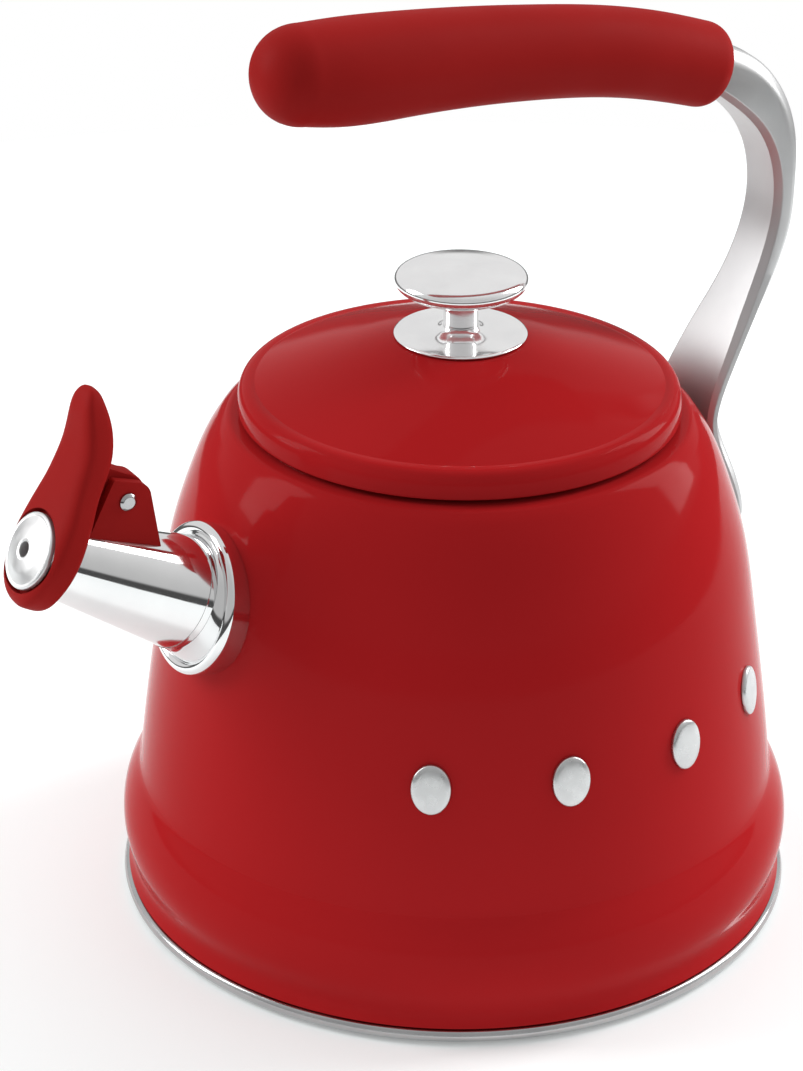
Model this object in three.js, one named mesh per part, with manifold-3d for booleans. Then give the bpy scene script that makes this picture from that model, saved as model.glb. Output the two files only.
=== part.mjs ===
// Stovetop whistling kettle, in millimetres, +Z up.
// The origin is the centre of the flat underside. The spout points to -X, the handle stands at +X,
// and y = 0 is the mirror plane.

import * as THREE from 'three';
import { mergeVertices } from 'three/addons/utils/BufferGeometryUtils.js';
import Module from 'manifold-3d';

const wasm = await Module();
wasm.setup();

// ---------------------------------------------------------------- driving dimensions

const GAP = 0.3; // clearance between pieces that touch
const ROUND = 40; // facets round the large turned pieces
const SMALL = 16; // facets round the small turned pieces

const BASE_R = 90; // rolled steel ring that the kettle stands on
const CAP_R = 77; // encapsulated heat spreader
const WALL_T = 1.2; // enamelled steel wall
const HEM_Z = 3.8; // lower edge of the enamelled wall
const WALL_TOP_Z = 133.4; // top of the shoulder
const LEDGE_Z = 135.1; // flat ledge round the mouth
const THROAT_R = 50.4; // mouth opening in the wall
const RIM_R = 57; // lid rim
const RIM_Z = 136.5; // lower edge of the lid rim
const SEAT_Z = 155.9; // flat seat of the knob on the lid
const KNOB_R = 17;
const KNOB_TOP_Z = 175;

const SPOUT_TILT = THREE.MathUtils.degToRad(28.3);
const WHISTLE = new THREE.Vector3(-122.1, 0, 125.2); // centre of the whistle's front disc
const TIP_A = -6.2; // spout tip, measured from the whistle along the spout
const ROOT_A = -60; // inner end of the spout tube
const TIP_R = 9.6;
const SPOUT_TAPER = 0.129; // growth of the radius per millimetre of length
const TUBE_T = 1;
const DISC_R = 9.7; // whistle's front disc
const COLLAR_R = 19.5;
const COLLAR_TILT = THREE.MathUtils.degToRad(16.7);
const COLLAR_CENTRE = new THREE.Vector3(-77.7, 0, 100.7);

const PIN_A = -16.5; // lever pivot in the spout's own frame
const PIN_B = 19.95;
const PIN_R = 1.5;
const EAR_IN = 3.3; // inner and outer faces of the bracket's ears
const EAR_OUT = 5.7;
const KNUCKLE_W = 2.9; // half width of the lever's knuckle

const SCREW_TILT = THREE.MathUtils.degToRad(13);
const HANDLE_SCREWS_Z = [98, 110];

const BADGE_Z = 69;
const BADGE_AZIMUTHS = [-126, -101, -76, -52];

// ---------------------------------------------------------------- materials

function finish(colour, roughness, metalness) {
  return new THREE.MeshStandardMaterial({ color: colour, roughness, metalness });
}

const enamel = finish(0xb01c20, 0.15, 0);
const softTouch = finish(0x9c1a1c, 0.6, 0);
const chrome = finish(0xdcdcdc, 0.08, 1);
const satinSteel = finish(0xb9b9b9, 0.3, 1);
const aluminium = finish(0xa8a8ac, 0.4, 1);
const silicone = finish(0xd8d4cc, 0.7, 0);

// ---------------------------------------------------------------- helpers: solids

const WELD = 1e-4; // vertices of a drawn shape that lie this close are one
const SHORT = 6e-3; // edges that a cut leaves shorter than this are closed up

function withoutCollapsed(corner) {
  const kept = [];
  for (let i = 0; i < corner.length; i += 3) {
    const [p, q, r] = [corner[i], corner[i + 1], corner[i + 2]];
    if (p !== q && q !== r && r !== p) kept.push(p, q, r);
  }
  return kept;
}

// A closed mesh as a manifold solid, with its faces turned outwards.
function solid(geometry) {
  const bare = new THREE.BufferGeometry();
  bare.setAttribute('position', geometry.getAttribute('position').clone());
  if (geometry.index) bare.setIndex(geometry.index.clone());
  const merged = mergeVertices(bare, WELD);
  const position = merged.getAttribute('position');
  const corner = withoutCollapsed(merged.index.array);
  const a = new THREE.Vector3();
  const b = new THREE.Vector3();
  const c = new THREE.Vector3();
  let volume = 0;
  for (let i = 0; i < corner.length; i += 3) {
    a.fromBufferAttribute(position, corner[i]);
    b.fromBufferAttribute(position, corner[i + 1]);
    c.fromBufferAttribute(position, corner[i + 2]);
    volume += a.dot(b.cross(c));
  }
  if (volume < 0) corner.reverse();
  const mesh = new wasm.Mesh({
    numProp: 3,
    vertProperties: Float32Array.from(position.array),
    triVerts: Uint32Array.from(corner),
  });
  return new wasm.Manifold(mesh);
}

// The solid's mesh, with its shortest edges closed up.
function geometryOf(manifold) {
  const mesh = manifold.getMesh();
  const position = new THREE.BufferAttribute(mesh.vertProperties, 3);
  const standsFor = Array.from({ length: position.count }, (_, i) => i);
  const settled = (i) => (standsFor[i] === i ? i : settled(standsFor[i]));
  const from = new THREE.Vector3();
  const to = new THREE.Vector3();
  mesh.triVerts.forEach((corner, i) => {
    const p = settled(corner);
    const q = settled(mesh.triVerts[i % 3 === 2 ? i - 2 : i + 1]);
    from.fromBufferAttribute(position, p);
    to.fromBufferAttribute(position, q);
    if (from.distanceTo(to) < SHORT) standsFor[Math.max(p, q)] = Math.min(p, q);
  });
  const geometry = new THREE.BufferGeometry();
  geometry.setAttribute('position', position);
  geometry.setIndex(withoutCollapsed(Array.from(mesh.triVerts, settled)));
  return geometry;
}

function join(...pieces) {
  return pieces.reduce((sum, piece) => sum.add(piece));
}

function cut(body, ...tools) {
  return tools.reduce((rest, tool) => rest.subtract(tool), body);
}

// ---------------------------------------------------------------- helpers: shapes

function points(pairs) {
  return pairs.map(([x, y]) => new THREE.Vector2(x, y));
}

// A smooth run through a few points.
function smooth(pairs, steps) {
  return new THREE.SplineCurve(points(pairs)).getPoints(steps);
}

// A turned piece about +Z. The profile is [radius, height].
function turned(profile, segments = ROUND) {
  return new THREE.LatheGeometry(profile, segments).rotateX(Math.PI / 2);
}

// A turned piece whose profile is a closed loop.
function turnedLoop(profile, segments = ROUND) {
  return turned([...profile, profile[0].clone()], segments);
}

// The same about +X, for pieces on the spout's axis. The profile is [radius, place along X].
function turnedX(profile, segments = SMALL) {
  return new THREE.LatheGeometry(profile, segments).rotateZ(-Math.PI / 2);
}

// An outline in the X-Z plane, given thickness along Y.
function slab(outline, yLow, yHigh) {
  const shape = new THREE.Shape(outline);
  const geometry = new THREE.ExtrudeGeometry(shape, { depth: yHigh - yLow, bevelEnabled: false });
  return geometry.rotateX(Math.PI / 2).translate(0, yHigh, 0);
}

// A rod along Y.
function rodY(radius, x, z, yLow, yHigh) {
  const geometry = new THREE.CylinderGeometry(radius, radius, yHigh - yLow, SMALL);
  return geometry.translate(x, (yLow + yHigh) / 2, z);
}

// A closed body through rings of points, with a fan of triangles over each end.
function loft(rings) {
  const count = rings[0].length;
  const vertices = rings.flat();
  const index = [];
  for (let i = 0; i + 1 < rings.length; i++) {
    for (let j = 0; j < count; j++) {
      const k = (j + 1) % count;
      const [p, q] = [i * count, (i + 1) * count];
      index.push(p + j, q + j, q + k, p + j, q + k, p + k);
    }
  }
  for (const end of [0, rings.length - 1]) {
    const hub = vertices.length;
    const middle = new THREE.Vector3();
    rings[end].forEach((point) => middle.addScaledVector(point, 1 / count));
    vertices.push(middle);
    for (let j = 0; j < count; j++) {
      const [p, q] = [end * count + j, end * count + ((j + 1) % count)];
      index.push(...(end === 0 ? [hub, p, q] : [hub, q, p]));
    }
  }
  const geometry = new THREE.BufferGeometry().setFromPoints(vertices);
  geometry.setIndex(index);
  return geometry;
}

// Values that run smoothly through stations. Each station is a list of equal length.
function stationsAt(stations, t) {
  const along = t * (stations.length - 1);
  const i = Math.min(Math.floor(along), stations.length - 2);
  const f = along - i;
  const at = (k) => stations[Math.min(Math.max(k, 0), stations.length - 1)];
  return stations[0].map((_, column) => {
    const [a, b, c, d] = [at(i - 1), at(i), at(i + 1), at(i + 2)].map((row) => row[column]);
    const slopeB = (c - a) / 2;
    const slopeC = (d - b) / 2;
    const f2 = f * f;
    const f3 = f2 * f;
    return (2 * f3 - 3 * f2 + 1) * b + (f3 - 2 * f2 + f) * slopeB
      + (3 * f2 - 2 * f3) * c + (f3 - f2) * slopeC;
  });
}

// The unit direction of a run of stations, whose first two values are x and z.
function direction(stations, t) {
  const step = 0.002;
  const ahead = stationsAt(stations, Math.min(1, t + step));
  const behind = stationsAt(stations, Math.max(0, t - step));
  return new THREE.Vector2(ahead[0] - behind[0], ahead[1] - behind[1]).normalize();
}

// ---------------------------------------------------------------- the scene graph

const kettle = new THREE.Group();

const spoutAxes = new THREE.Matrix4().makeBasis(
  new THREE.Vector3(-Math.cos(SPOUT_TILT), 0, Math.sin(SPOUT_TILT)),
  new THREE.Vector3(0, -1, 0),
  new THREE.Vector3(Math.sin(SPOUT_TILT), 0, Math.cos(SPOUT_TILT)),
);
const spoutPlace = new THREE.Matrix4().makeTranslation(WHISTLE).multiply(spoutAxes);

// The spout's own frame: X runs out along the spout, Z is up across it, and 0 is the whistle.
const spout = new THREE.Group();
spout.position.copy(WHISTLE);
spout.quaternion.setFromRotationMatrix(spoutAxes);
kettle.add(spout);

function node(name, shape, material, parent = kettle) {
  const manifold = shape instanceof THREE.BufferGeometry ? solid(shape) : shape;
  const mesh = new THREE.Mesh(geometryOf(manifold), material);
  mesh.name = name;
  parent.add(mesh);
  return mesh;
}

// ---------------------------------------------------------------- body

// The wall's outer face: a flared foot, a broad bead, a sharp step, and the tapering wall.
const footCurve = [[88.7, HEM_Z], [87.4, 8], [88.9, 14], [89.6, 20], [88.4, 27], [84.9, 34.6]];
const wallCurve = [
  [84.7, 35.4], [83.2, 48], [80.9, 65], [78.1, 84], [74.8, 102], [70.2, 116.5], [64.8, 128.6],
  [61.7, WALL_TOP_Z],
];

function wallOutside() {
  return [...smooth(footCurve, 7), ...smooth(wallCurve, 8)];
}

// Radius of the wall's outer face at a height.
function wallRadius(z) {
  const profile = smooth(wallCurve, 64);
  const i = Math.max(1, profile.findIndex((point) => point.y >= z));
  const [low, high] = [profile[i - 1], profile[i]];
  return low.x + ((high.x - low.x) * (z - low.y)) / (high.y - low.y);
}

// The space within the wall's outer face moved outwards by `grow`.
function wallFilled(grow) {
  const outside = wallOutside().map((point) => new THREE.Vector2(point.x + grow, point.y));
  return solid(turned([new THREE.Vector2(0, HEM_Z), ...outside, new THREE.Vector2(0, WALL_TOP_Z)]));
}

function tubeRadius(a) {
  return TIP_R + (TIP_A - a) * SPOUT_TAPER;
}

function coneAlongSpout(grow, from, to) {
  const profile = points([
    [0, from], [tubeRadius(from) + grow, from], [tubeRadius(to) + grow, to], [0, to],
  ]);
  return turnedX(profile, 32);
}

function spoutTool(grow) {
  return solid(coneAlongSpout(grow, ROOT_A - 6, 0).applyMatrix4(spoutPlace));
}

// A rod through the rear wall, square to it, from inside to outside.
function screwTool(z, radius, from, to) {
  const rod = turnedX(points([[0, from], [radius, from], [radius, to], [0, to]]), 16);
  rod.rotateY(-SCREW_TILT);
  rod.translate(wallRadius(z), 0, z);
  return solid(rod);
}

function bodyShell() {
  const outside = wallOutside();
  const mouth = points([
    [60.1, 134.6], [58.2, LEDGE_Z], [51.6, LEDGE_Z], [THROAT_R, LEDGE_Z - 1.1], [THROAT_R, 128.8],
    [THROAT_R + WALL_T, 128.8], [THROAT_R + WALL_T, LEDGE_Z - 1.7], [57.6, LEDGE_Z - WALL_T],
    [59.1, WALL_TOP_Z],
  ]);
  const inside = [...smooth(footCurve, 3), ...smooth(wallCurve, 6).slice(1, -1)]
    .map((point) => new THREE.Vector2(point.x - WALL_T, point.y))
    .reverse();
  const shell = solid(turnedLoop([...outside, ...mouth, ...inside]));
  const screws = HANDLE_SCREWS_Z.map((z) => screwTool(z, 2.1, -8, 8));
  return cut(shell, spoutTool(GAP), ...screws);
}

node('body_shell', bodyShell(), enamel);

const mouthRing = points([
  [49.2, 122.3], [49.9, 122.3], [49.9, 135.5], [54.6, 135.5], [54.6, 136.1], [49.2, 136.1],
]);
node('mouth_ring', turnedLoop(mouthRing), satinSteel);

// ---------------------------------------------------------------- base

const basePan = points([
  [0, 7.2], [77.6, 7.2], [80.6, 4.3], [86, 3.5], [88, 3.5], [89.4, 3.1], [BASE_R, 2], [89.4, 0.9],
  [88, 0.5], [86.8, 0.9], [86.2, 2.3], [80, 3.2], [CAP_R + 0.8, 6.3], [0, 6.3],
]);
node('base_pan', turned(basePan), chrome);

const baseCore = points([[0, 1.5], [CAP_R - 1.4, 1.5], [CAP_R - 1.4, 5.9], [0, 5.9]]);
node('base_core', turned(baseCore), aluminium);

const baseCap = points([
  [0, 0], [CAP_R - 1.4, 0], [CAP_R, 1.4], [CAP_R, 5.9], [CAP_R - 1, 5.9], [CAP_R - 1, 1.2], [0, 1.2],
]);
node('base_cap', turned(baseCap), satinSteel);

// ---------------------------------------------------------------- lid

const domeCurve = [[18.4, 155.5], [28, 152.6], [38, 149.3], [46, 146.4], [52, 144.1]];
const LID_T = 1;

function lidShell() {
  const dome = smooth(domeCurve, 5);
  const rim = points([
    [52.9, 143.8], [54.1, 143.8], [55.7, 143.1], [56.7, 141.9], [RIM_R, 140.4], [RIM_R, 137.4],
    [56.5, RIM_Z], [55.7, RIM_Z], [55.8, 138], [55.7, 140], [54.6, 141.9], [53, 142.7],
  ]);
  const under = smooth(domeCurve, 3)
    .map((point) => new THREE.Vector2(point.x - 0.3, point.y - LID_T))
    .reverse();
  const seat = points([[16.4, SEAT_Z], [2.5, SEAT_Z], [2.5, SEAT_Z - LID_T], [16.2, SEAT_Z - LID_T]]);
  return turnedLoop([seat[0], ...dome, ...rim, ...under, seat[3], seat[2], seat[1]]);
}

node('lid_shell', lidShell(), enamel);

const lidSkirt = points([
  [47.4, 122], [48.2, 122], [48.2, 136.4], [55.2, 136.4], [55.2, 137], [47.4, 137],
]);
node('lid_skirt', turnedLoop(lidSkirt), satinSteel);

const knobFlange = points([
  [2.5, 156.2], [16.8, 156.2], [17.2, 156.5], [17.1, 156.8], [16.2, 157], [10, 157.1], [7, 157.5],
  [5.3, 158.2], [4.7, 158.9], [2.5, 158.9],
]);
node('knob_flange', turnedLoop(knobFlange, 24), chrome);

const knobProfile = [
  ...points([[2, 168], [2, 159.2], [4.5, 159.2], [4.5, 165.6], [4.9, 166.5], [6.2, 166.9]]),
  ...smooth([[9, 167.3], [13.5, 168.3], [16.2, 169.6], [KNOB_R, 171], [16.5, 172.3], [14, 173.3]], 5),
  ...points([[9, 174.4], [4.5, 174.9], [0, KNOB_TOP_Z]]),
];
node('knob', turned([new THREE.Vector2(0, 168), ...knobProfile], 24), chrome);

const knobScrew = points([[0, 151], [3.8, 151], [3.8, 153.6], [1.7, 153.6], [1.7, 166.5], [0, 166.5]]);
node('knob_screw', turned(knobScrew, SMALL), satinSteel);

const knobWasher = points([[2.2, 153.9], [6, 153.9], [6, 154.6], [2.2, 154.6]]);
node('knob_washer', turnedLoop(knobWasher, SMALL), satinSteel);

// ---------------------------------------------------------------- spout

const tubeProfile = points([
  [tubeRadius(ROOT_A), ROOT_A], [tubeRadius(TIP_A), TIP_A], [tubeRadius(TIP_A) - TUBE_T, TIP_A],
  [tubeRadius(ROOT_A) - TUBE_T, ROOT_A],
]);
node('spout_tube', turnedX([...tubeProfile, tubeProfile[0].clone()], 32), chrome, spout);

// A flared foot with a rolled bead, lying on the wall where the tube comes out of it.
function spoutCollar() {
  const flare = [
    [0, -8], [COLLAR_R - 0.4, -8], [COLLAR_R, -1], [COLLAR_R, 0.8], [18.8, 1.9], [17.8, 2], [17.1, 1.6],
    [16.6, 2], [15.8, 3], [15.4, 4.2], [0, 4.2],
  ];
  const disc = turnedX(points(flare), 28);
  disc.rotateY(COLLAR_TILT + Math.PI);
  disc.translate(COLLAR_CENTRE.x, COLLAR_CENTRE.y, COLLAR_CENTRE.z);
  return cut(solid(disc), wallFilled(GAP), spoutTool(GAP));
}

node('spout_collar', spoutCollar(), chrome);

// ---------------------------------------------------------------- whistle lever

const earOutline = points([
  [-10.6, 6], [-31.3, 8.5], [-31.3, 11.2], [-22.3, 23], [-21, 24.6], [-19.2, 25.3], [-17, 25.4],
  [-10.4, 24.1],
]);

function hingeBracket() {
  const ears = solid(slab(earOutline, -EAR_OUT, EAR_OUT));
  const channel = points([[-8, 12.4], [-18, 12.6], [-24, 14], [-36, 27], [-36, 40], [-8, 40]]);
  const between = solid(slab(channel, -EAR_IN, EAR_IN));
  const bore = solid(rodY(PIN_R + GAP, PIN_A, PIN_B, -10, 10));
  return cut(ears, between, bore, solid(coneAlongSpout(GAP, -40, -4)));
}

node('hinge_bracket', hingeBracket(), softTouch, spout);

function hingePin() {
  const [tip, head] = [EAR_OUT + 1.1, PIN_R + 0.8];
  const profile = points([
    [0, -tip], [head - 0.5, -tip], [head, -tip + 0.4], [head, -EAR_OUT - GAP], [PIN_R, -EAR_OUT - GAP],
    [PIN_R, EAR_OUT + GAP], [head, EAR_OUT + GAP], [head, tip - 0.4], [head - 0.5, tip], [0, tip],
  ]);
  return new THREE.LatheGeometry(profile, 16).translate(PIN_A, 0, PIN_B);
}

node('hinge_pin', hingePin(), chrome, spout);

// The lever from the side: the cap over the spout below, the thumb tail above.
const leverFront = [
  [-2.2, -13.7], [-0.4, -11.8], [0.6, -7.5], [0.9, -1], [0.3, 8], [0.2, 14.4], [0.5, 21.4], [1.1, 27.7],
  [2.8, 33.6], [4.2, 38], [4.3, 41.3],
];
const leverBack = [
  [2.8, 43.3], [0.4, 42.4], [-1.8, 40], [-4.7, 36.2], [-7, 31], [-8, 25], [-8.1, 17.5], [-8.9, 8.2],
  [-9.3, 0.6], [-8.9, -7], [-8.2, -12.2],
];

// Half the lever's width at each height across the spout.
const leverWidth = [
  [0, -14], [4.9, -12.9], [7.4, -11], [9.5, -8.3], [11.5, -4.2], [12.4, 1], [12, 7.9], [10.9, 13.3],
  [9.7, 17.4], [9, 21.2], [8.3, 27.7], [7.1, 33.5], [5.7, 38], [4.2, 41], [2.5, 42.8], [0, 43.5],
];

function whistleLever() {
  const side = [...smooth(leverFront, 18), ...smooth(leverBack, 18), new THREE.Vector2(-6.4, -14)];
  const half = smooth(leverWidth, 22);
  const otherHalf = half.slice(1, -1).reverse().map((point) => new THREE.Vector2(-point.x, point.y));
  const front = new THREE.ExtrudeGeometry(new THREE.Shape([...half, ...otherHalf]), {
    depth: 24,
    bevelEnabled: false,
  });
  front.rotateX(Math.PI / 2).rotateZ(Math.PI / 2).translate(-16, 0, 0);
  const blade = solid(slab(side, -14, 14)).intersect(solid(front));

  const knuckle = solid(rodY(6.2, PIN_A, PIN_B, -KNUCKLE_W, KNUCKLE_W));
  const arm = points([[PIN_A, 13.4], [-6, 13.2], [-5, 26], [PIN_A, 25.8]]);
  const link = solid(slab(arm, -KNUCKLE_W, KNUCKLE_W));

  const recess = solid(turnedX(points([[0, -1.2], [10.3, -1.2], [10.3, 4], [0, 4]]), 32));
  const chamber = solid(turnedX(points([[0, -4], [8, -4], [8, 0], [0, 0]]), 32));
  const mouth = turnedX(points([[0, -13], [11.6, -13], [10.1, -5.6], [10, -3.6], [0, -3.6]]), 32);
  const drop = solid(turnedX(points([[0, -13], [11.2, -13], [9, -5], [0, -5]]), 32)
    .translate(0, 0, -0.9));
  const bore = solid(rodY(PIN_R + GAP, PIN_A, PIN_B, -10, 10));
  return cut(join(blade, knuckle, link), recess, chamber, solid(mouth), drop, bore);
}

node('whistle_lever', whistleLever(), softTouch, spout);

const frontDisc = points([
  [2, -0.9], [DISC_R, -0.9], [DISC_R, 0.1], [8.9, 0.7], [6, 1.4], [2.7, 1.9], [2, 1.7],
]);
node('whistle_front_disc', turnedX([...frontDisc, frontDisc[0].clone()], 32), chrome, spout);

const rearDisc = points([[1.6, -4.4], [9.7, -4.4], [9.7, -3.9], [1.6, -3.9]]);
node('whistle_rear_disc', turnedX([...rearDisc, rearDisc[0].clone()], 32), satinSteel, spout);

const seal = points([[7.4, -5.9], [9.8, -5.9], [9.8, -4.7], [7.4, -4.7]]);
node('whistle_seal', turnedX([...seal, seal[0].clone()], 32), silicone, spout);

// ---------------------------------------------------------------- handle arm

// Stations down the arm's inner face: x, z, half width, thickness, and how far it wraps the wall.
const armStations = [
  [-30, 227.4, 5, 6, 0], [5, 226.2, 5, 6, 0], [36, 221.8, 5, 6, 0], [60, 216, 5, 8, 0],
  [71, 210.6, 6.8, 12.2, 0], [79.6, 204.2, 8, 13.8, 0], [86.4, 197.4, 8, 12.4, 0],
  [90.8, 189.2, 8, 10.2, 0],
  [92.6, 180, 8, 8.5, 0], [92, 171, 8, 8.5, 0], [89.5, 162, 8.2, 8.2, 0], [85.4, 152.6, 9, 7.4, 0],
  [80.4, 143.2, 10.4, 6.2, 0], [75.4, 133.4, 11.6, 5.4, 0.1], [71.9, 124.8, 12.6, 5, 0.4],
  [70.6, 118.6, 14, 4.8, 0.8], [71.9, 113, 17, 4.5, 1], [73.8, 107, 20.3, 4.4, 1],
  [75.5, 100.6, 23, 4.3, 1], [76.5, 96, 23, 4.2, 1], [77.2, 92.6, 20.4, 4.1, 1],
  [77.7, 90.2, 15.6, 4, 1], [78, 88.9, 9, 3.8, 1],
];

// One section across the arm: a flat inner face with crisp edges and a rounded back, clear of the wall.
function armSection(t) {
  const [x, z, w, thickness, wrap] = stationsAt(armStations, t);
  const along = direction(armStations, t);
  const nick = 0.6;
  const back = Math.min(3, 0.55 * thickness, 0.4 * w);
  const half = [
    [0.5 * w, 0], [w - nick, 0], [w, nick], [w, thickness - back],
    [w - 0.12 * back, thickness - 0.5 * back], [w - 0.5 * back, thickness - 0.12 * back],
    [w - back, thickness], [0.5 * w, thickness],
  ];
  const mirrored = half.map(([y, h]) => [-y, h]).reverse();
  const outline = [[0, 0], ...half, [0, thickness], ...mirrored];
  return outline.map(([y, h]) => {
    const lift = h - (wrap * y * y) / (2 * wallRadius(Math.min(z, WALL_TOP_Z)));
    const point = new THREE.Vector3(x - along.y * lift, y, z + along.x * lift);
    if (point.z < WALL_TOP_Z) {
      const clear = wallRadius(point.z) + 2 * GAP;
      point.x = Math.max(point.x, Math.sqrt(clear * clear - y * y));
    }
    return point;
  });
}

// The plain slot that clears the arm's tang within the grip.
function tangSlot() {
  const [clear, tangShare, steps] = [0.4, 0.27, 8];
  const rings = [];
  for (let i = 0; i <= steps; i++) {
    const t = (tangShare * i) / steps;
    const [x, z, w, thickness] = stationsAt(armStations, t);
    const along = direction(armStations, t);
    const [low, high] = [-clear, thickness + clear];
    const corners = [[-w - clear, low], [w + clear, low], [w + clear, high], [-w - clear, high]];
    const back = i === 0 ? clear : 0;
    rings.push(corners.map(([y, h]) => {
      return new THREE.Vector3(x - back - along.y * h, y, z + along.x * h);
    }));
  }
  return solid(loft(rings));
}

function armLoft(steps) {
  const rings = [];
  for (let i = 0; i <= steps; i++) rings.push(armSection(i / steps));
  return solid(loft(rings));
}

function handleArm() {
  const holes = HANDLE_SCREWS_Z.map((z) => screwTool(z, 2.1, -4, 3.2));
  return cut(armLoft(36), ...holes);
}

node('handle_arm', handleArm(), satinSteel);

// A screw from inside the kettle into the arm's foot, square to the wall.
function handleScrew(z) {
  const profile = points([[0, -5.8], [3.6, -5.8], [3.6, -3.7], [1.7, -3.7], [1.7, 2.8], [0, 2.8]]);
  const geometry = turnedX(profile, 16);
  geometry.rotateY(-SCREW_TILT);
  return geometry.translate(wallRadius(z), 0, z);
}

HANDLE_SCREWS_Z.forEach((z, i) => {
  node(`handle_screw_${i + 1}`, handleScrew(z), satinSteel);
});

// A curved plate inside the wall that spreads the load of the two screws.
function backingPlate() {
  const heights = [90, 97, 104, 111, 118];
  const outer = heights.map((z) => new THREE.Vector2(wallRadius(z) - WALL_T - 0.7, z));
  const inner = heights.map((z) => new THREE.Vector2(wallRadius(z) - WALL_T - 2.1, z)).reverse();
  const ring = solid(turnedLoop([...outer, ...inner], 64));
  const window = solid(new THREE.BoxGeometry(40, 26, 60).translate(75, 0, 104));
  const holes = HANDLE_SCREWS_Z.map((z) => screwTool(z, 2.1, -8, 8));
  return cut(ring.intersect(window), ...holes);
}

node('handle_backing_plate', backingPlate(), satinSteel);

// ---------------------------------------------------------------- grip

// Stations along the grip's centre line, from the free front end to the rear: x, z, radius.
const gripStations = [
  [-58, 233.7, 0.8], [-57.2, 233.7, 4.2], [-55, 233.6, 7.6], [-51.5, 233.4, 10.4], [-46, 232.9, 12.4],
  [-36, 231.9, 13.2], [-18, 230.9, 12.9], [0, 229.7, 12.3], [20, 227.6, 11.8], [40, 224.6, 11.5],
  [58, 220.3, 11.3], [70, 216.5, 11.2], [77, 213.9, 11], [78.6, 213.2, 10.2],
];

function gripLoft(inset, from, to, steps, facets) {
  const rings = [];
  for (let i = 0; i <= steps; i++) {
    const t = from + ((to - from) * i) / steps;
    const [x, z, radius] = stationsAt(gripStations, t);
    const along = direction(gripStations, t);
    const r = Math.max(0.4, radius - inset);
    const ring = [];
    for (let j = 0; j < facets; j++) {
      const turn = (2 * Math.PI * j) / facets;
      const lift = r * Math.cos(turn);
      ring.push(new THREE.Vector3(x - along.y * lift, r * Math.sin(turn), z + along.x * lift));
    }
    rings.push(ring);
  }
  return solid(loft(rings));
}

const SKIN_T = 2.2;
const CORE_FROM = 0.19; // ends of the core, as shares of the grip's stations
const CORE_TO = 0.8;
const tangSpace = tangSlot();
const hollow = gripLoft(SKIN_T, CORE_FROM, CORE_TO, 9, 14);

node('handle_grip', cut(gripLoft(0, 0, 1, 20, 20), hollow, tangSpace), softTouch);
const core = gripLoft(SKIN_T + GAP, CORE_FROM + 0.01, CORE_TO - 0.01, 9, 14);
node('grip_core', cut(core, tangSpace), softTouch);

// ---------------------------------------------------------------- badges

// Four plain oval studs in a row round the front of the wall.
function badge() {
  const outline = new THREE.Shape();
  outline.absellipse(0, 0, 4.6, 6.2, 0, 2 * Math.PI);
  const options = { depth: 0.4, bevelSize: 0.4, bevelThickness: 0.4, bevelSegments: 1, curveSegments: 10 };
  return new THREE.ExtrudeGeometry(outline, options).translate(0, 0, 0.8).rotateX(Math.PI / 2);
}

BADGE_AZIMUTHS.forEach((azimuth, i) => {
  const angle = THREE.MathUtils.degToRad(azimuth);
  const stud = node(`badge_${i + 1}`, badge(), satinSteel);
  const reach = wallRadius(BADGE_Z) + GAP;
  stud.position.set(reach * Math.cos(angle), reach * Math.sin(angle), BADGE_Z);
  stud.rotation.set(THREE.MathUtils.degToRad(-8), 0, angle + Math.PI / 2, 'ZYX');
});

export default kettle;
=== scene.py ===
# The looks of a stovetop whistling kettle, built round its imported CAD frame.
# Lengths are in millimetres in this script's shapes, and turn into metres where a mesh is made.

import math

import bmesh
import bpy
import numpy as np
from mathutils import Matrix, Vector


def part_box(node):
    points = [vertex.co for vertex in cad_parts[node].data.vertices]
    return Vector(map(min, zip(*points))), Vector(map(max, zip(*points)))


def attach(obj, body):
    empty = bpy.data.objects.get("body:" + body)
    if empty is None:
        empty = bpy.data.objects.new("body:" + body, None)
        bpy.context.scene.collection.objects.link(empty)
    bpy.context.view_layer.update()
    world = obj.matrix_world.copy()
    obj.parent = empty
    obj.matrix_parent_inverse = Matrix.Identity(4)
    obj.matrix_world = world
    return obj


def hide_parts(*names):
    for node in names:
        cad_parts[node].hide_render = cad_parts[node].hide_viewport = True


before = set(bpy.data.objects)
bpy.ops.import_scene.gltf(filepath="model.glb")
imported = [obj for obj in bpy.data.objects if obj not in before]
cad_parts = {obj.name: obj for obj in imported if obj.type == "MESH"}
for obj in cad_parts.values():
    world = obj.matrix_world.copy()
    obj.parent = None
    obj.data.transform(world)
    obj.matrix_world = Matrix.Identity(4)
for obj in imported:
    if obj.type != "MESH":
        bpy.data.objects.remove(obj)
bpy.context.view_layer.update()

MM = 0.001
KETTLE, LID, LEVER = "kettle_body", "lid", "lever"

# ---------------------------------------------------------------- places, from the frame


def corner_mm(node, high=False):
    """A CAD node's lowest or highest corner, in millimetres."""
    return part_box(node)[1 if high else 0] / MM


BASE_R = corner_mm("base_pan", True).x  # bright ring that it stands on
CAP_R = corner_mm("base_cap", True).x
HEM_Z = corner_mm("body_shell").z  # lower edge of the enamelled wall
LEDGE_Z = corner_mm("body_shell", True).z  # flat ledge round the mouth
RIM_R = corner_mm("lid_shell", True).x
RIM_Z = corner_mm("lid_shell").z
KNOB_R = corner_mm("knob", True).x
KNOB_TOP_Z = corner_mm("knob", True).z

WALL_T = 1.2
THROAT_R = 50.4
THROAT_LOW_Z = 128.8

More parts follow.
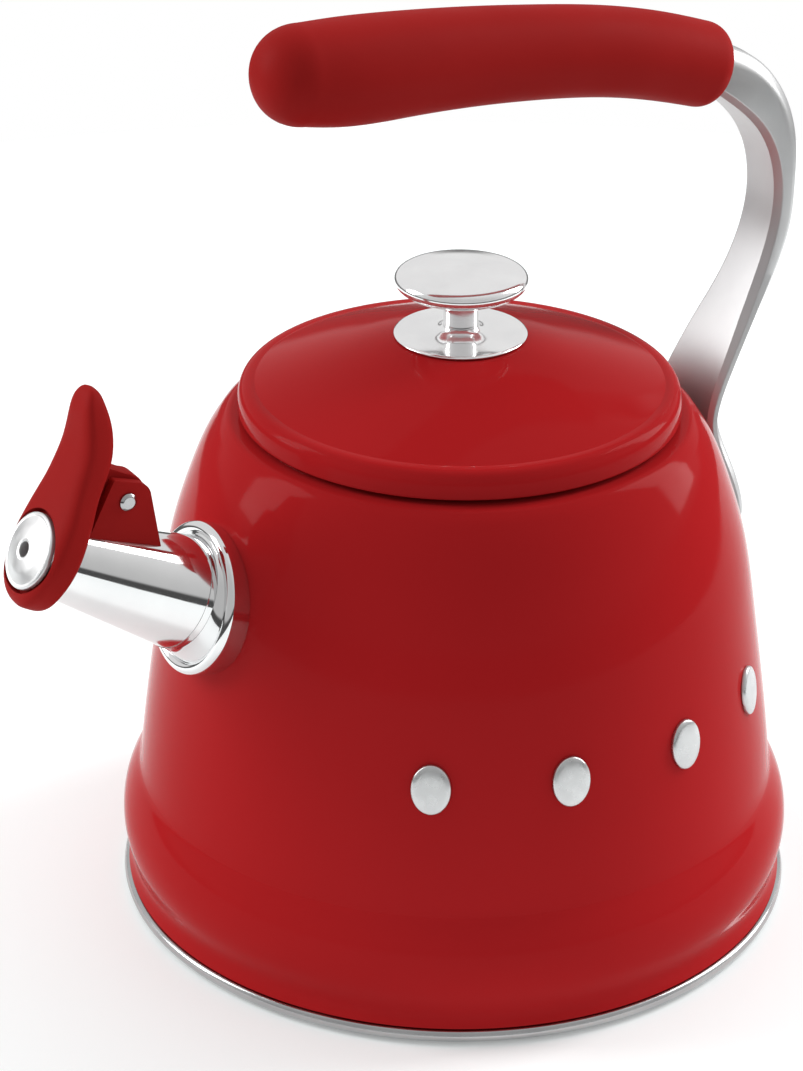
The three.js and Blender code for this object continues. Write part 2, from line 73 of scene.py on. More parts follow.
SPOUT_TILT = math.radians(28.3)
WHISTLE = Vector((-122.1, 0, 125.2))  # centre of the whistle's front disc
TIP_A = -6.2  # spout tip, measured from the whistle along the spout
ROOT_A = -60
TIP_R = 9.6
SPOUT_TAPER = 0.129
TUBE_T = 1
HOLE_GAP = 0.3  # between the spout and the edge of its hole in the wall
SEAM = 0.06  # between the collar and what it lies on
DISC_R = 9.7
COLLAR_R = 19.5
COLLAR_TILT = math.radians(16.7)
COLLAR_CENTRE = Vector((-77.7, 0, 100.7))
PIN_A = -16.5  # lever pivot in the spout's own frame
PIN_B = 19.95
PIN_R = 1.5
EAR_IN = 3.3
EAR_OUT = 5.7
KNUCKLE_W = 2.9

# ---------------------------------------------------------------- curves


def spline(points, count):
    """`count` points along a curve of even curvature through the given ones (a natural cubic)."""
    knots = np.array(points, float)
    steps = np.linalg.norm(np.diff(knots, axis=0), axis=1)
    length = np.concatenate([[0], np.cumsum(steps)])
    last = len(knots) - 1
    system = np.zeros((last + 1, last + 1))
    system[0, 0] = system[last, last] = 1
    right = np.zeros_like(knots)
    for i in range(1, last):
        before, after = steps[i - 1], steps[i]
        system[i, i - 1 : i + 2] = before, 2 * (before + after), after
        right[i] = 6 * ((knots[i + 1] - knots[i]) / after - (knots[i] - knots[i - 1]) / before)
    bend = np.linalg.solve(system, right)
    found = []
    for s in np.linspace(0, length[-1], count):
        i = int(np.clip(np.searchsorted(length, s) - 1, 0, last - 1))
        b = (s - length[i]) / steps[i]
        a = 1 - b
        curve = ((a**3 - a) * bend[i] + (b**3 - b) * bend[i + 1]) * steps[i] ** 2 / 6
        found.append(a * knots[i] + b * knots[i + 1] + curve)
    return found


def rounded(corners, steps=6):
    """A run of straight lines. A corner (x, z, radius) is rounded, and a corner (x, z) is sharp."""
    found = []
    for i, corner in enumerate(corners):
        here = np.array(corner[:2], float)
        if len(corner) < 3 or i in (0, len(corners) - 1):
            found.append(here)
            continue
        back = np.array(corners[i - 1][:2], float) - here
        ahead = np.array(corners[i + 1][:2], float) - here
        back_length, ahead_length = np.linalg.norm(back), np.linalg.norm(ahead)
        back, ahead = back / back_length, ahead / ahead_length
        half = math.acos(np.clip(back @ ahead, -1, 1)) / 2
        if half > math.radians(89.5):
            found += [here + (ahead - back) * 0.01 * (k / steps - 0.5) for k in range(steps + 1)]
            continue
        reach = min(corner[2] / math.tan(half), 0.48 * back_length, 0.48 * ahead_length)
        radius = reach * math.tan(half)
        middle = (back + ahead) / np.linalg.norm(back + ahead)
        centre = here + middle * math.hypot(reach, radius)
        start, end = here + back * reach - centre, here + ahead * reach - centre
        sweep = math.pi - 2 * half
        for k in range(steps + 1):
            share = k / steps
            one = math.sin((1 - share) * sweep) / math.sin(sweep)
            two = math.sin(share * sweep) / math.sin(sweep)
            found.append(centre + one * start + two * end)
    return found


def closed_rounded(corners, steps=6):
    """The same for a closed outline, where every corner is (x, z, radius)."""
    looped = [corners[-1], *corners, corners[0]]
    return rounded(looped, steps)[1:-1]


# ---------------------------------------------------------------- meshes

SHARP = 35  # degrees from which an edge stays sharp


def turned(profile, segments=192, closed=True):
    """Vertices and faces of a piece turned about Z from a profile of (radius, height)."""
    vertices, faces, rings = [], [], []
    for r, z in profile:
        if r < 1e-6:
            rings.append([len(vertices)] * segments)
            vertices.append((0, 0, z))
            continue
        rings.append(list(range(len(vertices), len(vertices) + segments)))
        for k in range(segments):
            turn = 2 * math.pi * k / segments
            vertices.append((r * math.cos(turn), r * math.sin(turn), z))
    pairs = list(zip(rings, rings[1:]))
    if closed:
        pairs.append((rings[-1], rings[0]))
    for low, high in pairs:
        for k in range(segments):
            after = (k + 1) % segments
            face = [low[k], low[after], high[after], high[k]]
            face = [v for i, v in enumerate(face) if v not in face[:i]]
            if len(face) > 2:
                faces.append(face)
    return vertices, faces


def lofted(rings):
    """Vertices and faces of a closed body through rings of points, with a fan over each end."""
    count = len(rings[0])
    vertices = [tuple(point) for ring in rings for point in ring]
    faces = []
    for i in range(len(rings) - 1):
        for j in range(count):
            k = (j + 1) % count
            low, high = i * count, (i + 1) * count
            faces.append((low + j, low + k, high + k, high + j))
    for end in (0, len(rings) - 1):
        hub = len(vertices)
        vertices.append(tuple(np.mean(np.array(rings[end], float), axis=0)))
        for j in range(count):
            faces.append((hub, end * count + j, end * count + (j + 1) % count))
    return vertices, faces


def slab(outline, low, high):
    """Vertices and faces of an outline in X and Z, given thickness along Y."""
    count = len(outline)
    vertices = [(x, y, z) for y in (low, high) for x, z in outline]
    faces = [tuple(range(count)), tuple(range(count, 2 * count))]
    for j in range(count):
        k = (j + 1) % count
        faces.append((j, k, count + k, count + j))
    return vertices, faces


def mesh_object(name, shape, place=None, sharp=SHARP):
    """A new object from vertices and faces in millimetres, smooth but for its sharp edges."""
    vertices, faces = shape
    mesh = bpy.data.meshes.new(name)
    mesh.from_pydata([[float(c) for c in v] for v in vertices], [], faces)
    if place is not None:
        mesh.transform(place)
    mesh.transform(Matrix.Scale(MM, 4))
    build = bmesh.new()
    build.from_mesh(mesh)
    bmesh.ops.remove_doubles(build, verts=build.verts, dist=1e-7)
    bmesh.ops.recalc_face_normals(build, faces=build.faces)
    build.to_mesh(mesh)
    build.free()
    shade(mesh, sharp)
    obj = bpy.data.objects.new(name, mesh)
    bpy.context.scene.collection.objects.link(obj)
    return obj


def shade(mesh, sharp):
    """Smooth shading, but for edges that turn by more than `sharp` degrees."""
    mesh.shade_smooth()
    mesh.set_sharp_from_angle(angle=math.radians(sharp))


def apply_modifiers(obj, sharp=SHARP):
    """The object's mesh becomes what its modifiers make of it."""
    graph = bpy.context.evaluated_depsgraph_get()
    done = bpy.data.meshes.new_from_object(obj.evaluated_get(graph), depsgraph=graph)
    obj.modifiers.clear()
    obj.data = done
    shade(done, sharp)


def combine(obj, other, operation, sharp=SHARP):
    """Cuts `other` from the object, or joins it to it, and deletes `other`."""
    modifier = obj.modifiers.new("combine", "BOOLEAN")
    modifier.operation = operation
    modifier.solver = "EXACT"
    modifier.object = other
    apply_modifiers(obj, sharp)
    bpy.data.objects.remove(other)


def bevel(obj, width):
    """Rounds the object's sharp edges by a width in millimetres."""
    modifier = obj.modifiers.new("bevel", "BEVEL")
    modifier.width = width * MM
    modifier.segments = 3
    modifier.limit_method = "ANGLE"
    modifier.angle_limit = math.radians(SHARP)
    apply_modifiers(obj)


def finish_piece(obj, body, slot, material, *nodes):
    """The object rides on its body, takes its finish, and stands for its CAD nodes."""
    obj.data.materials.clear()
    obj.data.materials.append(material)
    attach(obj, body)
    if nodes:
        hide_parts(*nodes)
    return obj


def spout_frame(at=WHISTLE, tilt=SPOUT_TILT):
    """X runs out along the spout, Z is up across it, and 0 is at `at`."""
    out = Vector((-math.cos(tilt), 0, math.sin(tilt)))
    up = Vector((math.sin(tilt), 0, math.cos(tilt)))
    rows = Matrix((out, -Vector((0, 1, 0)), up)).transposed().to_4x4()
    return Matrix.Translation(at) @ rows


# A lathe turns about Z, so this lays its Z along the spout.
ALONG_X = Matrix.Rotation(math.pi / 2, 4, "Y")
SPOUT = spout_frame()

# ---------------------------------------------------------------- materials


class Finish:
    """A Principled material with a few helpers for its procedural detail."""

    def __init__(self, name, **settings):
        self.material = bpy.data.materials.new(name)
        self.material.use_nodes = True
        self.nodes = self.material.node_tree.nodes
        self.links = self.material.node_tree.links
        self.surface = self.nodes["Principled BSDF"]
        for socket, value in settings.items():
            self.surface.inputs[socket.replace("_", " ")].default_value = value
        self.place = self.nodes.new("ShaderNodeTexCoord").outputs["Object"]

    def noise(self, scale, detail=3, stretch=None, place=None):
        """Noise with features of about 1 / scale metres."""
        place = place or self.place
        if stretch:
            mapping = self.nodes.new("ShaderNodeMapping")
            mapping.inputs["Scale"].default_value = stretch
            self.links.new(place, mapping.inputs["Vector"])
            place = mapping.outputs["Vector"]
        node = self.nodes.new("ShaderNodeTexNoise")
        node.inputs["Scale"].default_value = scale
        node.inputs["Detail"].default_value = detail
        self.links.new(place, node.inputs["Vector"])
        return node.outputs["Fac"]

    def radius(self):
        """The distance from the Z axis, as a vector that noise can read."""
        flat = self.nodes.new("ShaderNodeVectorMath")
        flat.operation = "MULTIPLY"
        flat.inputs[1].default_value = (1, 1, 0)
        self.links.new(self.place, flat.inputs[0])
        length = self.nodes.new("ShaderNodeVectorMath")
        length.operation = "LENGTH"
        self.links.new(flat.outputs["Vector"], length.inputs[0])
        joined = self.nodes.new("ShaderNodeCombineXYZ")
        self.links.new(length.outputs["Value"], joined.inputs["X"])
        return joined.outputs["Vector"]

    def between(self, value, low, high):
        """Noise, which lies mostly within the two values here, spread between low and high."""
        node = self.nodes.new("ShaderNodeMapRange")
        node.inputs["From Min"].default_value = 0.35
        node.inputs["From Max"].default_value = 0.65
        node.inputs["To Min"].default_value = low
        node.inputs["To Max"].default_value = high
        self.links.new(value, node.inputs["Value"])
        return node.outputs["Result"]

    def roughness(self, value, low, high):
        self.links.new(self.between(value, low, high), self.surface.inputs["Roughness"])

    def colour(self, value, first, second):
        mix = self.nodes.new("ShaderNodeMix")
        mix.data_type = "RGBA"
        for socket, colour in zip([s for s in mix.inputs if s.type == "RGBA"], (first, second)):
            socket.default_value = (*colour, 1)
        self.links.new(self.between(value, 0, 1), mix.inputs["Factor"])
        out = [s for s in mix.outputs if s.type == "RGBA"][0]
        self.links.new(out, self.surface.inputs["Base Color"])

    def bump(self, layers):
        """Each layer is (value, depth in millimetres)."""
        normal = None
        for value, depth in layers:
            node = self.nodes.new("ShaderNodeBump")
            node.inputs["Distance"].default_value = depth * MM
            self.links.new(value, node.inputs["Height"])
            if normal:
                self.links.new(normal, node.inputs["Normal"])
            normal = node.outputs["Normal"]
        self.links.new(normal, self.surface.inputs["Normal"])


def enamel():
    """Gloss vitreous enamel: a very slight orange peel, and faint hazy patches in the gloss."""
    finish = Finish("red_enamel", IOR=1.085)
    finish.colour(finish.noise(9), (0.38, 0.0125, 0.0142), (0.405, 0.0137, 0.016))
    finish.roughness(finish.noise(45, 5), 0.07, 0.12)
    finish.bump([(finish.noise(260, 2), 0.012), (finish.noise(60, 1), 0.02)])
    return finish.material


def soft_touch():
    """Matt soft-touch skin: a fine even grain, with areas that hands have polished a little."""
    finish = Finish("red_soft_touch", IOR=1.09)
    finish.colour(finish.noise(30, 4), (0.305, 0.0123, 0.0115), (0.33, 0.0138, 0.0131))
    finish.roughness(finish.noise(70, 4), 0.46, 0.56)
    finish.bump([(finish.noise(3200, 2), 0.018), (finish.noise(140, 2), 0.02)])
    return finish.material


def polished(name="polished_steel", low=0.045, high=0.095, dark=0.78, light=0.84):
    """Mirror-polished steel, with faint haze and hairlines from wiping."""
    finish = Finish(name, Metallic=1.0)
    finish.colour(finish.noise(60, 4), (dark, dark, dark + 0.005), (light, light, light))
    finish.roughness(finish.noise(120, 6), low, high)
    finish.bump([(finish.noise(900, 2, (1, 1, 0.12)), 0.0012)])
    return finish.material


def satin(name="satin_steel", low=0.24, high=0.34, dark=0.56, light=0.64, metallic=1.0):
    """Satin steel whose marks follow no one direction."""
    finish = Finish(name, Metallic=metallic)
    finish.colour(finish.noise(80, 4), (dark, dark, dark + 0.005), (light, light, light))
    finish.roughness(finish.noise(300, 5), low, high)
    finish.bump([(finish.noise(2500, 3, (1, 1, 0.1)), 0.003)])
    return finish.material


def spun():
    """Satin steel with the rings of turning or spinning about Z."""
    finish = Finish("spun_steel", Metallic=1.0)
    finish.colour(finish.noise(60, 4), (0.54, 0.54, 0.545), (0.62, 0.62, 0.62))
    rings = finish.noise(1800, 3, place=finish.radius())
    finish.roughness(rings, 0.2, 0.36)
    finish.bump([(rings, 0.006)])
    return finish.material


def arm_steel():
    """The arm's satin steel, with fine marks along its length."""
    finish = Finish("satin_arm_steel", Metallic=0.7, IOR=1.4)
    uv = finish.nodes.new("ShaderNodeTexCoord").outputs["UV"]
    marks = finish.noise(1, 2, (12, 700, 1), uv)
    finish.colour(finish.noise(50, 4), (0.49, 0.49, 0.495), (0.53, 0.53, 0.53))
    finish.roughness(marks, 0.37, 0.44)
    finish.bump([(marks, 0.0004)])
    return finish.material


def cast_aluminium():
    finish = Finish("raw_aluminium", Metallic=1.0)
    finish.colour(finish.noise(200, 5), (0.52, 0.52, 0.53), (0.62, 0.62, 0.63))
    finish.roughness(finish.noise(500, 4), 0.35, 0.5)
    finish.bump([(finish.noise(1500, 3), 0.02)])
    return finish.material


def dark_plastic():
    finish = Finish("dark_plastic")
    finish.colour(finish.noise(200, 3), (0.012, 0.012, 0.012), (0.018, 0.018, 0.018))
    finish.roughness(finish.noise(500, 3), 0.45, 0.6)
    finish.bump([(finish.noise(2500, 2), 0.02)])
    return finish.material


def silicone():
    finish = Finish("clear_silicone", Subsurface_Weight=0.1)
    finish.colour(finish.noise(200, 3), (0.6, 0.58, 0.54), (0.66, 0.64, 0.6))
    finish.roughness(finish.noise(400, 3), 0.4, 0.5)
    finish.bump([(finish.noise(2000, 2), 0.01)])
    return finish.material


RED = enamel()
SOFT = soft_touch()
MIRROR = polished()
# A darker copy of the polished steel, carrying painted shade: it darkens the base ring where the
# contact shadow falls at the foot, and greys the pin's head.
SHADED_RING_STEEL = polished("brushed_steel_painted_shade", low=0.14, high=0.22, dark=0.44, light=0.5)
SATIN = satin()
# A paler, partly diffuse copy of the satin steel, carrying painted light: it keeps the whistle disc
# bright where it faces the dim side of the room.
LIT_DISC_STEEL = satin("satin_steel_painted_light", low=0.28, high=0.38, dark=0.74, light=0.8, metallic=0.7)
KNOB_STEEL = satin("bright_knob_steel", low=0.07, high=0.13, dark=0.88, light=0.94, metallic=0.86)
SPUN = spun()
ARM = arm_steel()
ALUMINIUM = cast_aluminium()
PLASTIC = dark_plastic()
CLEAR = silicone()

# ---------------------------------------------------------------- body

ENAMEL_Z = HEM_Z + 0.6  # the enamel ends a little above the CAD wall's lower edge
FOOT = [(88.6, ENAMEL_Z), (87.5, 8), (88.8, 14), (89.6, 20), (88.4, 27.4), (85.2, 34)]
WALL = [
    (84.6, 35.6), (83.2, 48), (80.9, 65), (78.1, 84), (74.8, 102), (70.2, 116.5), (64.8, 128.6),
    (61.8, 133.1),
]
WALL_FINE = np.array(spline(WALL, 200))


def wall_radius(z):
    """The radius of the wall's outer face at a height above its foot."""
    return float(np.interp(z, WALL_FINE[:, 1], WALL_FINE[:, 0]))


def wall_outside(grow=0.0):
    """The wall's outer face from its lower edge up, with a crease between foot and wall."""
    foot, wall = spline(FOOT, 36), spline(WALL, 90)
    crease = rounded([foot[-1], (84.85, 34.9, 0.9), wall[1]], 4)[1:-1]
    return [(r + grow, z) for r, z in [*foot, *crease, *wall[1:]]]


def wall_solid(grow):
    """The space within the wall's outer face, moved outwards."""
    profile = [(0, ENAMEL_Z), *wall_outside(grow), (0, wall_outside()[-1][1])]
    return mesh_object("wall_solid", turned(profile, 256, closed=False))


def spout_cone(grow, start=ROOT_A - 6, end=0.0):
    """The space within the spout, moved outwards."""
    radii = [(tube_radius(a) + grow, a) for a in (start, end)]
    shape = turned([(0, start), *radii, (0, end)], 128, closed=False)
    return mesh_object("spout_cone", shape, SPOUT @ ALONG_X)


def tube_radius(a):
    """The spout's outer radius at a place along it."""
    return TIP_R + (TIP_A - a) * SPOUT_TAPER


def body_shell():
    """The enamelled wall with its ledge, throat and inner face, and a hole for the spout."""
    outside = wall_outside()
    top_r, top_z = outside[-1]
    mouth = rounded([
        (top_r, top_z), (59.6, LEDGE_Z, 2.6), (51.8, LEDGE_Z), (THROAT_R, LEDGE_Z, 1.3),
        (THROAT_R, THROAT_LOW_Z), (THROAT_R + WALL_T, THROAT_LOW_Z),
        (THROAT_R + WALL_T, LEDGE_Z - WALL_T - 1, 1),
        (58.6, LEDGE_Z - WALL_T - 0.1, 2), (top_r - WALL_T, top_z - WALL_T),
    ])
    inside = [(r - WALL_T, z) for r, z in reversed(outside[::2]) if z < top_z - 2 * WALL_T]
    shell = mesh_object("kettle_wall", turned([*outside, *mouth[1:], *inside], 256), sharp=50)
    combine(shell, spout_cone(HOLE_GAP), "DIFFERENCE", 50)
    return shell


finish_piece(body_shell(), KETTLE, "red_enamel", RED, "body_shell")


def turned_piece(name, corners, body, slot, material, node, segments=160, place=None, closed=True):
    """A turned piece from an outline with rounded corners."""
    profile = closed_rounded(corners) if closed else rounded(corners)
    obj = mesh_object(name, turned(profile, segments, closed), place)
    return finish_piece(obj, body, slot, material, node)


turned_piece("mouth_lining", [
    (49.2, 122.3, 0.3), (49.9, 122.3, 0.3), (49.9, 135.5, 0.1), (54.6, 135.5, 0.2),
    (54.6, 136.1, 0.3), (49.2, 136.1, 1.6),
], KETTLE, "satin_steel", SPUN, "mouth_ring")

# ---------------------------------------------------------------- base

# The ring takes the darker steel, as painted shade at the kettle's foot.
turned_piece("base_pan_and_ring", [
    (0, 7.2), (77.6, 7.2, 2), (80.6, 4.4, 2), (86, 4.1, 1), (88, 4.1, 1.5), (89.5, 3.9, 1.3),
    (BASE_R, 2.4, 1.4), (89.5, 1, 1.3), (88, 0.8, 1), (86.6, 1.1, 0.8), (86.2, 2.5, 1),
    (80, 3.3, 1.5), (CAP_R + 0.8, 6.3, 0.8), (0, 6.3),
], KETTLE, "polished_steel", SHADED_RING_STEEL, "base_pan", closed=False, segments=256)

turned_piece("base_cap_steel", [
    (0, 0.25), (20, 0.1), (36, 0.0, 3), (CAP_R - 1.6, 0, 1), (CAP_R, 1.6, 1.4), (CAP_R, 5.9, 0.2),
    (CAP_R - 1, 5.9, 0.2), (CAP_R - 1, 1.3, 0.4), (0, 1.3),
], KETTLE, "satin_steel", SPUN, "base_cap", closed=False)

# ---------------------------------------------------------------- lid

DOME = [(17.4, 155.85), (24, 153.95), (31, 151.6), (38, 149.2), (45.5, 146.5), (51.8, 144.1)]
RIM = [
    (53.3, 143.8), (54.5, 143.7), (55.7, 143.15), (56.5, 142.1), (56.93, 140.6), (RIM_R, 138.6),
    (RIM_R, 137.4),
]


def lid_shell():
    """A low dome, a fine crease, and a broad rim that rolls over to a short upright edge."""
    dome, rim = spline(DOME, 40), spline(RIM, 30)
    crease = rounded([dome[-1], (52.6, 143.75, 0.6), rim[0]], 6)[1:-1]
    lip = rounded([
        rim[-1], (RIM_R, RIM_Z, 0.7), (55.7, RIM_Z, 0.4), (55.7, 140, 2), (54.6, 141.9, 1.4),
        (53, 142.7),
    ])
    under = [(r - 0.3, z - 1) for r, z in reversed(dome[1:-1])]
    seat = [(16.4, 154.9), (2.5, 154.9), (2.5, 155.9), (16.4, 155.9)]
    profile = [*dome, *crease, *rim, *lip[1:], *under, *seat]
    return mesh_object("lid_dome", turned(profile, 256), sharp=60)


finish_piece(lid_shell(), LID, "red_enamel", RED, "lid_shell")

turned_piece("lid_skirt_steel", [
    (47.4, 122, 0.3), (48.2, 122, 0.3), (48.2, 136.4, 0.2), (55.2, 136.4, 0.2), (55.2, 137, 0.2),
    (47.4, 137, 0.8),
], LID, "satin_steel", SPUN, "lid_skirt")

STEM_R = 4.5


def knob_disc():
    """A flat polished disc that sweeps up into the knob's stem."""
    edge = rounded([
        (2.5, 156.2), (16.9, 156.2, 0.3), (17.2, 156.6, 0.3), (16.6, 156.98, 0.5), (14, 157),
    ])
    cove = spline([
        (14, 157), (11.2, 157.02), (8.8, 157.15), (6.9, 157.55), (5.5, 158.2), (4.8, 158.95),
    ], 30)
    profile = [*edge[:-1], *cove, (2.5, 158.95)]
    return mesh_object("knob_disc", turned(profile, 160))


finish_piece(knob_disc(), LID, "polished_steel", KNOB_STEEL, "knob_flange")


def knob():
    """A mushroom knob on a short stem, which is bored for its screw."""
    stem = rounded([
        (0, 168), (2, 168), (2, 159.0), (STEM_R + 0.1, 159.0, 0.1), (STEM_R, 159.6, 0.4),
        (STEM_R, 166.6, 1.6), (9, 167.2),
    ])
    cap = spline([
        (9, 167.2), (12.4, 167.75), (15.1, 168.75), (16.75, 170.3), (KNOB_R, 171.5),
        (16.3, 172.65), (14.4, 173.35), (10.5, 174.1), (5.5, 174.75), (0, KNOB_TOP_Z),
    ], 60)
    cap[-1] = (0, KNOB_TOP_Z)
    return mesh_object("lid_knob", turned([*stem[:-1], *cap], 160, closed=False))


finish_piece(knob(), LID, "polished_steel", KNOB_STEEL, "knob")

turned_piece("knob_screw_steel", [
    (0, 151), (3.8, 151, 0.5), (3.8, 153.6, 0.2), (1.7, 153.6), (1.7, 166.5, 0.4), (0, 166.5),
], LID, "satin_steel", SATIN, "knob_screw", 48, closed=False)

turned_piece("knob_washer_steel", [
    (2.2, 153.9, 0.1), (6, 153.9, 0.2), (6, 154.6, 0.2), (2.2, 154.6, 0.1),
], LID, "satin_steel", SATIN, "knob_washer", 48)

# ---------------------------------------------------------------- spout

turned_piece("spout_cone_steel", [
    (tube_radius(ROOT_A), ROOT_A, 0.3), (tube_radius(TIP_A), TIP_A, 0.45),
    (tube_radius(TIP_A) - TUBE_T, TIP_A, 0.45), (tube_radius(ROOT_A) - TUBE_T, ROOT_A, 0.3),
], KETTLE, "polished_steel", MIRROR, "spout_tube", place=SPOUT @ ALONG_X)


def spout_collar():
    """A thick rolled bead that lies on the wall, and a cove that sweeps from it into the spout."""
    bead_r, root, end = 1.7, 16.7, -44.6
    bead = [(COLLAR_R + bead_r * (math.cos(t) - 1), 0.25 + bead_r * math.sin(t))
            for t in np.linspace(-0.2, 2.6, 20)]
    rings = []
    for r, a in [(COLLAR_R - 0.4, -8), *bead]:
        rings.append((spout_frame(COLLAR_CENTRE, COLLAR_TILT), r, a))
    low = spout_frame(COLLAR_CENTRE, COLLAR_TILT) @ Vector((1.0, 0, 0))
    high = SPOUT @ Vector((end, 0, 0))
    for s in np.linspace(0, 1, 18):
        tilt = COLLAR_TILT + s * (SPOUT_TILT - COLLAR_TILT)
        flare = (1 - s) ** 2.4
        radius = tube_radius(end) + 0.1 + (root - tube_radius(end)) * flare
        rings.append((spout_frame(low.lerp(high, float(s)), tilt), radius, 0))
    circle = [(math.cos(t), math.sin(t)) for t in np.linspace(0, 2 * math.pi, 161)[:-1]]
    sections = [[place @ Vector((a, r * c, r * s)) for c, s in circle] for place, r, a in rings]
    collar = mesh_object("spout_collar_steel", lofted(sections))
    combine(collar, wall_solid(SEAM), "DIFFERENCE")
    combine(collar, spout_cone(SEAM), "DIFFERENCE")
    return collar


finish_piece(spout_collar(), KETTLE, "polished_steel", MIRROR, "spout_collar")

# ---------------------------------------------------------------- bracket and pin


def hinge_bracket():
    """Two ears for the pin, on a foot that fits the spout."""
    outline = closed_rounded([
        (-10.6, 6, 0.1), (-31.2, 8.6, 0.1), (-31.2, 11.1, 0.6), (-20.2, 25.75, 4.4),
        (-10.5, 24.0, 0.8),
    ], 12)
    bracket = mesh_object("lever_bracket", slab(outline, -EAR_OUT, EAR_OUT), SPOUT)
    channel = closed_rounded([
        (-8, 12.4, 0.1), (-18, 12.6, 2), (-24, 14, 3), (-36, 27, 0.1), (-36, 40, 0.1),
        (-8, 40, 0.1),
    ])
    combine(bracket, mesh_object("channel", slab(channel, -EAR_IN, EAR_IN), SPOUT), "DIFFERENCE")
    combine(bracket, spout_cone(0.05, start=-45, end=-4), "DIFFERENCE")
    bevel(bracket, 0.35)
    return bracket


finish_piece(hinge_bracket(), KETTLE, "red_soft_touch", SOFT, "hinge_bracket")


def hinge_pin():
    """A riveted pin with a low domed head at each end."""
    tip, head = EAR_OUT + 1.1, PIN_R + 0.8
    half = rounded([
        (0, tip), (head - 0.7, tip - 0.05, 0.5), (head, EAR_OUT + 0.5, 0.3),
        (head, EAR_OUT + 0.05, 0.1), (PIN_R, EAR_OUT + 0.05),
    ])
    profile = [*half, *[(r, -z) for r, z in reversed(half)]]
    place = SPOUT @ Matrix.Translation((PIN_A, 0, PIN_B)) @ Matrix.Rotation(math.pi / 2, 4, "X")
    return mesh_object("lever_pin", turned(profile, 64, closed=False), place)


# The pin takes the same darker steel, as painted shade on its head.
finish_piece(hinge_pin(), KETTLE, "polished_steel", SHADED_RING_STEEL, "hinge_pin")

# ---------------------------------------------------------------- whistle lever

# Along the lever: height across the spout, front face, back face, half width.
LEVER_STATIONS = [
    (-13.9, -3.0, -6.3, 0.6), (-13.6, -2.1, -7.3, 2.8), (-12.8, -1.15, -7.9, 4.8),
    (-11.1, -0.2, -8.5, 7.2), (-8.5, 0.4, -8.7, 9.4), (-4.3, 0.64, -9.0, 11.3),
    (1.0, 0.62, -9.2, 12.3), (7.9, 0.3, -8.9, 11.9), (13.3, 0.1, -8.4, 10.9),
    (17.3, 0.15, -8.1, 9.8), (21.2, 0.4, -8.0, 9.0), (27.7, 1.0, -7.8, 8.2),
    (33.6, 2.7, -6.2, 7.0), (38.0, 4.1, -3.6, 5.7), (41.1, 4.3, -0.9, 4.2),
    (42.8, 3.7, 0.9, 2.5), (43.3, 2.9, 2.2, 0.6),
]


def lever_blade():
    """The lever's blade, lofted through sections between a round and a square one."""
    square, facets = 3.6, 72
    rings = []
    for height, front, back, half in spline(LEVER_STATIONS, 110):
        middle, depth = (front + back) / 2, (front - back) / 2
        ring = []
        for k in range(facets):
            turn = 2 * math.pi * k / facets
            across = math.copysign(abs(math.cos(turn)) ** (2 / square), math.cos(turn))
            through = math.copysign(abs(math.sin(turn)) ** (2 / square), math.sin(turn))
            ring.append((middle + depth * through, half * across, height))
        rings.append(ring)
    return mesh_object("whistle_lever_red", lofted(rings), SPOUT)


def rod_y(radius, x, z, low, high):
    """A rod along the spout frame's Y, with softly rounded ends."""
    profile = rounded([(0, low), (radius, low, 0.5), (radius, high, 0.5), (0, high)])
    place = SPOUT @ Matrix.Translation((x, 0, z)) @ Matrix.Rotation(math.pi / 2, 4, "X")
    return mesh_object("rod", turned(profile, 48, closed=False), place)


def along_spout(profile, shift=(0, 0, 0)):
    """A solid turned about the spout's own line, from (radius, place along it)."""
    place = SPOUT @ Matrix.Translation(shift) @ ALONG_X
    return mesh_object("along_spout", turned(profile, 128, closed=False), place)


def whistle_lever():
    """The blade and its knuckle on the pin, hollowed for the discs and for the spout's tip."""
    lever = lever_blade()
    arm = closed_rounded([(PIN_A, 13.4, 0.1), (-6, 13.2, 0.1), (-5, 26, 0.1), (PIN_A, 25.8, 0.1)])
    link = mesh_object("link", slab(arm, -KNUCKLE_W, KNUCKLE_W), SPOUT)
    combine(link, rod_y(6.2, PIN_A, PIN_B, -KNUCKLE_W, KNUCKLE_W), "UNION")
    combine(lever, link, "UNION")
    cuts = [
        along_spout([(0, -2.4), (10.7, -2.4), (10.7, 4), (0, 4)]),
        along_spout([(0, -4), (8, -4), (8, 0), (0, 0)]),
        along_spout([(0, -13), (11.6, -13), (10.1, -5.6), (10, -3.6), (0, -3.6)]),
        along_spout([(0, -13), (11.2, -13), (9, -5), (0, -5)], shift=(0, 0, -0.9)),
        rod_y(PIN_R + 0.15, PIN_A, PIN_B, -10, 10),
    ]
    for tool in cuts:
        combine(lever, tool, "DIFFERENCE", 40)
    return lever


finish_piece(whistle_lever(), LEVER, "red_soft_touch", SOFT, "whistle_lever")


def spout_ring(name, corners, slot, material, node):
    """A turned piece of the whistle, which rides on the lever."""
    return turned_piece(name, corners, LEVER, slot, material, node, 128, SPOUT @ ALONG_X)


# The front disc takes the paler steel, as painted light on its face.
spout_ring("whistle_disc", [
    (2, -0.9, 0.1), (DISC_R, -0.9, 0.2), (DISC_R, 0.3, 0.3), (9.2, 0.62, 0.25), (8.6, 0.55, 0.5),
    (6, 1.3, 8), (2.7, 1.85, 0.5), (2, 1.7, 0.2),
], "polished_steel", LIT_DISC_STEEL, "whistle_front_disc")

spout_ring("whistle_inner_disc", [
    (1.6, -4.4, 0.1), (9.7, -4.4, 0.1), (9.7, -3.9, 0.1), (1.6, -3.9, 0.1),
], "satin_steel", SATIN, "whistle_rear_disc")

spout_ring("whistle_seal_ring", [
    (7.4, -5.9, 0.4), (9.8, -5.9, 0.4), (9.8, -4.7, 0.3), (7.4, -4.7, 0.3),
], "clear_silicone", CLEAR, "whistle_seal")

# ---------------------------------------------------------------- handle arm

